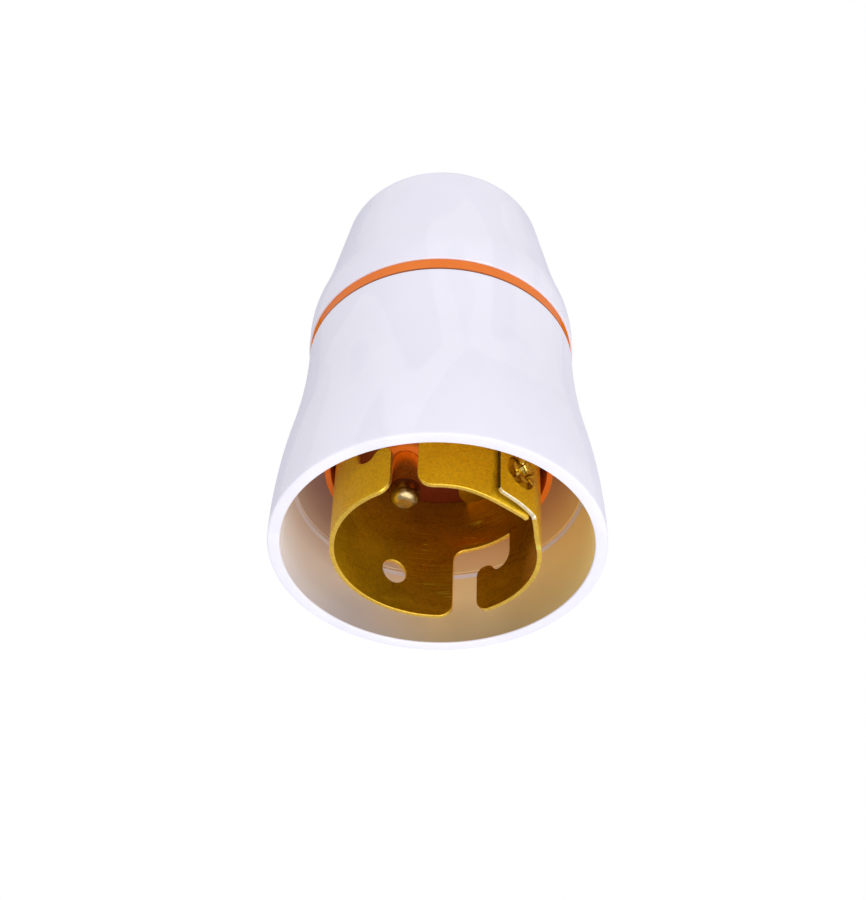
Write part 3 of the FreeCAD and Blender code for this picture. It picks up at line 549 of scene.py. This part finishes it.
def plate(outlines):
    """A piece of the flat sheet in the XY plane, with its holes and a fine edge bevel; its faces are numbered."""
    curve = bpy.data.curves.new("plate", "CURVE")
    curve.dimensions = "2D"
    curve.fill_mode = "BOTH"
    curve.extrude = SHEET / 2 - SHEET_BEVEL
    curve.bevel_depth = SHEET_BEVEL
    curve.bevel_resolution = 1
    curve.offset = -SHEET_BEVEL
    for outline in outlines:
        spline = curve.splines.new("POLY")
        spline.points.add(len(outline) - 1)
        for point, (x, y) in zip(spline.points, outline):
            point.co = (x, y, 0, 1)
        spline.use_cyclic_u = True
    holder = bpy.data.objects.new("plate", curve)
    bpy.context.scene.collection.objects.link(holder)
    bpy.context.view_layer.update()
    flat = bpy.data.meshes.new_from_object(holder.evaluated_get(bpy.context.evaluated_depsgraph_get()))
    bpy.data.objects.remove(holder)
    bpy.data.curves.remove(curve)
    shape = bmesh.new()
    shape.from_mesh(flat)
    bpy.data.meshes.remove(flat)
    bmesh.ops.remove_doubles(shape, verts=shape.verts, dist=0.0005)
    bmesh.ops.recalc_face_normals(shape, faces=shape.faces)
    for face in shape.faces:
        face.material_index = CUT if abs(face.normal.z) < 0.9 else OUTSIDE if face.normal.z > 0 else INSIDE
    return shape


def finished(shape, name):
    mesh = bpy.data.meshes.new(name)
    shape.to_mesh(mesh)
    shape.free()
    smooth(mesh, 50.0)
    return mesh


lap_lift, step_lift, lap_chamfer = 0.65, 0.35, 0.4       # how far the free lap stays clear of the mouth
lap_run = along(LAP_STEP)
clinch_bearing, clinch_level = -42.8, mouth_level + 4.7
pilot_bearing, pilot_level, pilot_radius = 115.8, mouth_level + 5.2, 1.55
slot_bearings = (60.25, 240.25)

outline = [
    (0.0, mouth_level + lap_lift + 0.8 * lap_chamfer),
    (lap_chamfer, mouth_level + lap_lift),
    (lap_run - 0.2, mouth_level + step_lift),
    (lap_run, mouth_level + step_lift - 0.2),
    (lap_run, mouth_level),
]
for bearing in slot_bearings:
    outline += slot_outline(bearing)
outline += [(sheet_end, mouth_level), (sheet_end, top_level), (0.0, top_level)]


def bearing_gap(index):
    """How far a point of the path's second half, which lies under the lap, is from the clinch's bearing."""
    under_lap = path_run[index] > sheet_end / 2
    gap = abs(math.degrees(math.atan2(path[index].y, path[index].x)) - clinch_bearing)
    return gap if under_lap else gap + 90


under_clinch = path_run[min(range(len(path)), key=bearing_gap)]
flat_sheet = plate([
    outline,
    circle_outline(along(pilot_bearing), pilot_level, pilot_radius),
    circle_outline(along(clinch_bearing), clinch_level, 1.95),
    circle_outline(under_clinch, clinch_level, 0.8, 24),
])

# the flat sheet is cut across in fine strips, finest at the step, so that it can be rolled up
coarse_strip, fine_strip, step_margin = 0.3, 0.12, 0.4
run = coarse_strip
while run < sheet_end:
    geometry = flat_sheet.verts[:] + flat_sheet.edges[:] + flat_sheet.faces[:]
    bmesh.ops.bisect_plane(flat_sheet, geom=geometry, dist=1e-5, plane_co=(run, 0, 0), plane_no=(1, 0, 0))
    in_step = lap_run - step_margin < run < along(STEP_FOOT) + step_margin
    run += fine_strip if in_step else coarse_strip
for face in flat_sheet.faces:
    if face.material_index == CUT:
        spot = face.calc_center_median()
        # the free lap's cut edge is painted dark as shadow
        if spot.x < 0.1:
            face.material_index = PAINTED_SHADOW
        elif spot.x < lap_run and spot.y < mouth_level + lap_lift + 0.3:
            face.material_index = WORN
for vertex in flat_sheet.verts:
    vertex.co = rolled(*vertex.co)
bmesh.ops.recalc_face_normals(flat_sheet, faces=flat_sheet.faces)
barrel = add_object("barrel_shell", finished(flat_sheet, "barrel_shell"), "holder", "barrel_brass", *barrel_finishes)
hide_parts("bayonet_barrel")


def ear(name, bearing):
    """A flat ear that turns inwards from the barrel's top, with the hole for its rivet."""
    half, inner, outer, corner = 4.55, 6.95, 11.3, 2.73
    rivet_place, rivet_radius = 9.0, 1.0
    root = math.sqrt(outer ** 2 - half ** 2)
    spread = math.degrees(math.asin(half / outer))
    sweep = [tuple(polar(outer, spread * (1 - k / 8)).xy) for k in range(17)]
    shape = [(inner, corner - half), (inner, half - corner)]
    shape += arc(shape[-1], (inner + corner, half), corner, 1, 10)
    shape += [(root, half)] + sweep[1:-1] + [(root, -half), (inner + corner, -half)]
    shape += arc(shape[-1], shape[0], corner, 1, 10)[:-1]
    solid = plate([shape, circle_outline(rivet_place, 0.0, rivet_radius, 24)])
    turn = Matrix.Rotation(math.radians(bearing), 4, "Z") @ Matrix.Translation((0, 0, top_level - SHEET / 2))
    bmesh.ops.transform(solid, matrix=Matrix.Scale(MM, 4) @ turn, verts=solid.verts)
    add_object(name, finished(solid, name), "holder", "barrel_brass", *barrel_finishes[:3])


ear("barrel_ear_a", 48.0)
ear("barrel_ear_b", 228.0)


# ------------------------------------------------------------------ clinch
def curl(length, taper, raised, across, tall):
    """A petal's section as it rolls over from the hole's side: (distance from the hole's middle, height)."""
    middle_out, middle_up, bend_step = 1.52, 0.06, 20
    points = []
    for step in range(9):
        bend = math.radians(180 - step * bend_step * length * taper)
        points.append((middle_out + across * math.cos(bend), middle_up + raised + tall * math.sin(bend)))
    return points


def clinch_lip():
    """The burst lip of the clinched joint: petals rolled back round its hole, each of its own size."""
    petals, strips = 5, 14
    pitch, first_petal = 360.0 / petals, 18.0
    foot, sunk = -0.75, 0.02
    outer_curl, inner_curl = (0.56, 0.5), (0.34, 0.28)
    solid = bmesh.new()
    chance = random.Random(7)
    out = polar(1.0, clinch_bearing)
    side = Vector((-out.y, out.x, 0))
    base = barrel_spot(*(out * (wall_radius(clinch_bearing) - sunk)).xy, clinch_level) / MM
    for petal in range(petals):
        start = pitch * petal + first_petal + chance.uniform(-5, 5)
        width = pitch - chance.uniform(7, 22)
        length = chance.uniform(0.7, 1.15)
        raised = chance.uniform(-0.12, 0.16)
        rings = []
        for strip in range(strips + 1):
            share = strip / strips
            angle = math.radians(start + width * share)
            taper = 1 - 0.28 * abs(2 * share - 1) ** 3
            section = [(0.96, foot)] + curl(length, taper, raised, *outer_curl)
            section += curl(length, taper, raised, *inner_curl)[::-1] + [(1.18, foot)]
            direction = side * math.cos(angle) + Vector((0, 0, 1)) * math.sin(angle)
            rings.append([solid.verts.new((base + direction * radius + out * height) * MM)
                          for radius, height in section])
        count = len(rings[0])
        for first, second in zip(rings, rings[1:]):
            for k in range(count):
                solid.faces.new((first[k], second[k], second[(k + 1) % count], first[(k + 1) % count]))
        solid.faces.new(rings[0])
        solid.faces.new(reversed(rings[-1]))
    bmesh.ops.recalc_face_normals(solid, faces=solid.faces)
    return finished(solid, "clinch_lip")


add_object("clinch_lip", clinch_lip(), "holder", "barrel_brass", burst_brass)

# ------------------------------------------------------------------ plungers
SHANK_START = 12.3                       # above this height the plunger takes a lighter copy of its brass, as painted light on the shank
plunger_outline = profile([
    (0.0, 9.8), (0.7, 9.8), (1.82, 10.92, 1.12, -1, 14), (1.82, 12.05), (1.67, 12.2, 0.15, -1, 4),
    (1.5, 12.25), (1.5, 20.42), (2.2, 20.42), (2.3, 20.52), (2.3, 21.32), (2.2, 21.42), (0.0, 21.42),
])
for name, bearing in PLUNGERS.items():
    pin_mesh = lathe(plunger_outline, PIN_STEPS)
    pin_mesh.transform(Matrix.Translation(polar(PIN_PLACE * MM, bearing)))
    smooth(pin_mesh, 40.0)
    pin = add_object(name + "_pin", pin_mesh, name, "turned_brass", turned_brass, painted_light_shank_brass)
    # faces above the shank's start take the lighter brass, painted light
    for face in pin_mesh.polygons:
        face.material_index = 1 if face.center.z > SHANK_START * MM else 0
    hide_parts(name)

# ------------------------------------------------------------------ finishes of the CAD nodes
finishes = {
    white: ["skirt", "cord_cap"],
    orange: ["insulator"],
    brass: ["bayonet_barrel"],
    turned_brass: ["plunger_a", "plunger_b", "terminal_a", "terminal_b", "ear_rivet_a", "ear_rivet_b"],
    steel: ["plunger_spring_a", "plunger_spring_b", "terminal_screw_a", "terminal_screw_b"],
}
for finish, names in finishes.items():
    for name in names:
        for material_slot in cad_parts[name].material_slots:
            material_slot.material = finish.material

# ------------------------------------------------------------------ light, floor and camera
SKY_COLOUR, SKY_STRENGTH = (0.95, 0.95, 1.0, 1), 0.67
FLOOR_REACH, FLOOR_LEVEL = 3.0, -0.42
SOFTBOXES = {                            # place, width, height and power
    "front_left": ((-0.55, -0.65, 0.10), 0.35, 0.9, 0.92),
    "front_right": ((0.45, -0.75, 0.0), 0.12, 0.8, 1.37),
    "below": ((0.05, -0.05, -0.40), 0.5, 0.5, 1.55),
    "above": ((0.0, -0.2, 0.6), 0.6, 0.6, 0.24),
}
CAMERA_PLACE, LENS = (0, -0.12999, -0.10595), 61.28
CAMERA_RISE, CAMERA_TURN, CAMERA_ROLL = 42.948, -0.314, 1.225


def white_backdrop(tree, lit, output):
    """White to the camera and to gloss and glass, and the plain pale colour to all other light."""
    nodes, links = tree.nodes, tree.links
    rays = nodes.new("ShaderNodeLightPath").outputs
    white_light = nodes.new("ShaderNodeBackground")
    white_light.inputs["Color"].default_value = (1, 1, 1, 1)
    white_light.inputs["Strength"].default_value = 1.0
    seen = rays["Is Camera Ray"]
    for ray in ("Is Glossy Ray", "Is Transmission Ray"):
        either = nodes.new("ShaderNodeMath")
        either.operation = "MAXIMUM"
        links.new(seen, either.inputs[0])
        links.new(rays[ray], either.inputs[1])
        seen = either.outputs[0]
    choice = nodes.new("ShaderNodeMixShader")
    links.new(seen, choice.inputs["Fac"])
    links.new(lit, choice.inputs[1])
    links.new(white_light.outputs[0], choice.inputs[2])
    links.new(choice.outputs[0], output.inputs["Surface"])


world = bpy.data.worlds.new("studio")
bpy.context.scene.world = world
world.use_nodes = True
sky = world.node_tree.nodes["Background"]
sky.inputs["Color"].default_value = SKY_COLOUR
sky.inputs["Strength"].default_value = SKY_STRENGTH
white_backdrop(world.node_tree, sky.outputs[0], world.node_tree.nodes["World Output"])

floor_mesh = bpy.data.meshes.new("floor")
floor_corners = [(x * FLOOR_REACH, y * FLOOR_REACH, FLOOR_LEVEL) for x, y in ((-1, -1), (1, -1), (1, 1), (-1, 1))]
floor_mesh.from_pydata(floor_corners, [], [(0, 1, 2, 3)])
floor = bpy.data.objects.new("floor", floor_mesh)
bpy.context.scene.collection.objects.link(floor)
floor_finish = bpy.data.materials.new("floor_paper")
floor_finish.use_nodes = True
paper = floor_finish.node_tree.nodes["Principled BSDF"]
paper.inputs["Base Color"].default_value = (0.85, 0.85, 0.86, 1)
paper.inputs["Roughness"].default_value = 0.9
floor_mesh.materials.append(floor_finish)

middle = (Vector(cad_bounds[0]) + Vector(cad_bounds[1])) / 2
for name, (spot, width, height, power) in SOFTBOXES.items():
    lamp = bpy.data.lights.new(name, "AREA")
    lamp.shape = "RECTANGLE"
    lamp.size, lamp.size_y, lamp.energy = width, height, power
    softbox = bpy.data.objects.new(name, lamp)
    softbox.location = spot
    softbox.rotation_euler = (middle - Vector(spot)).to_track_quat("-Z", "Y").to_euler()
    softbox.visible_camera = False
    bpy.context.scene.collection.objects.link(softbox)

camera_data = bpy.data.cameras.new("camera")
camera_data.lens = LENS
camera_data.sensor_width = 36.0
camera_data.clip_start = 0.005
camera = bpy.data.objects.new("camera", camera_data)
bpy.context.scene.collection.objects.link(camera)
bpy.context.scene.camera = camera
rise, turn, roll = (math.radians(degrees) for degrees in (CAMERA_RISE, CAMERA_TURN, CAMERA_ROLL))
forward = Vector((math.sin(turn) * math.cos(rise), math.cos(turn) * math.cos(rise), math.sin(rise)))
level_right = forward.cross(Vector((0, 0, 1))).normalized()
level_up = level_right.cross(forward)
right = level_right * math.cos(roll) + level_up * math.sin(roll)
up = level_up * math.cos(roll) - level_right * math.sin(roll)
camera.matrix_world = Matrix.Translation(CAMERA_PLACE) @ Matrix((right, up, -forward)).transposed().to_4x4()

bpy.context.scene.view_settings.view_transform = "Standard"
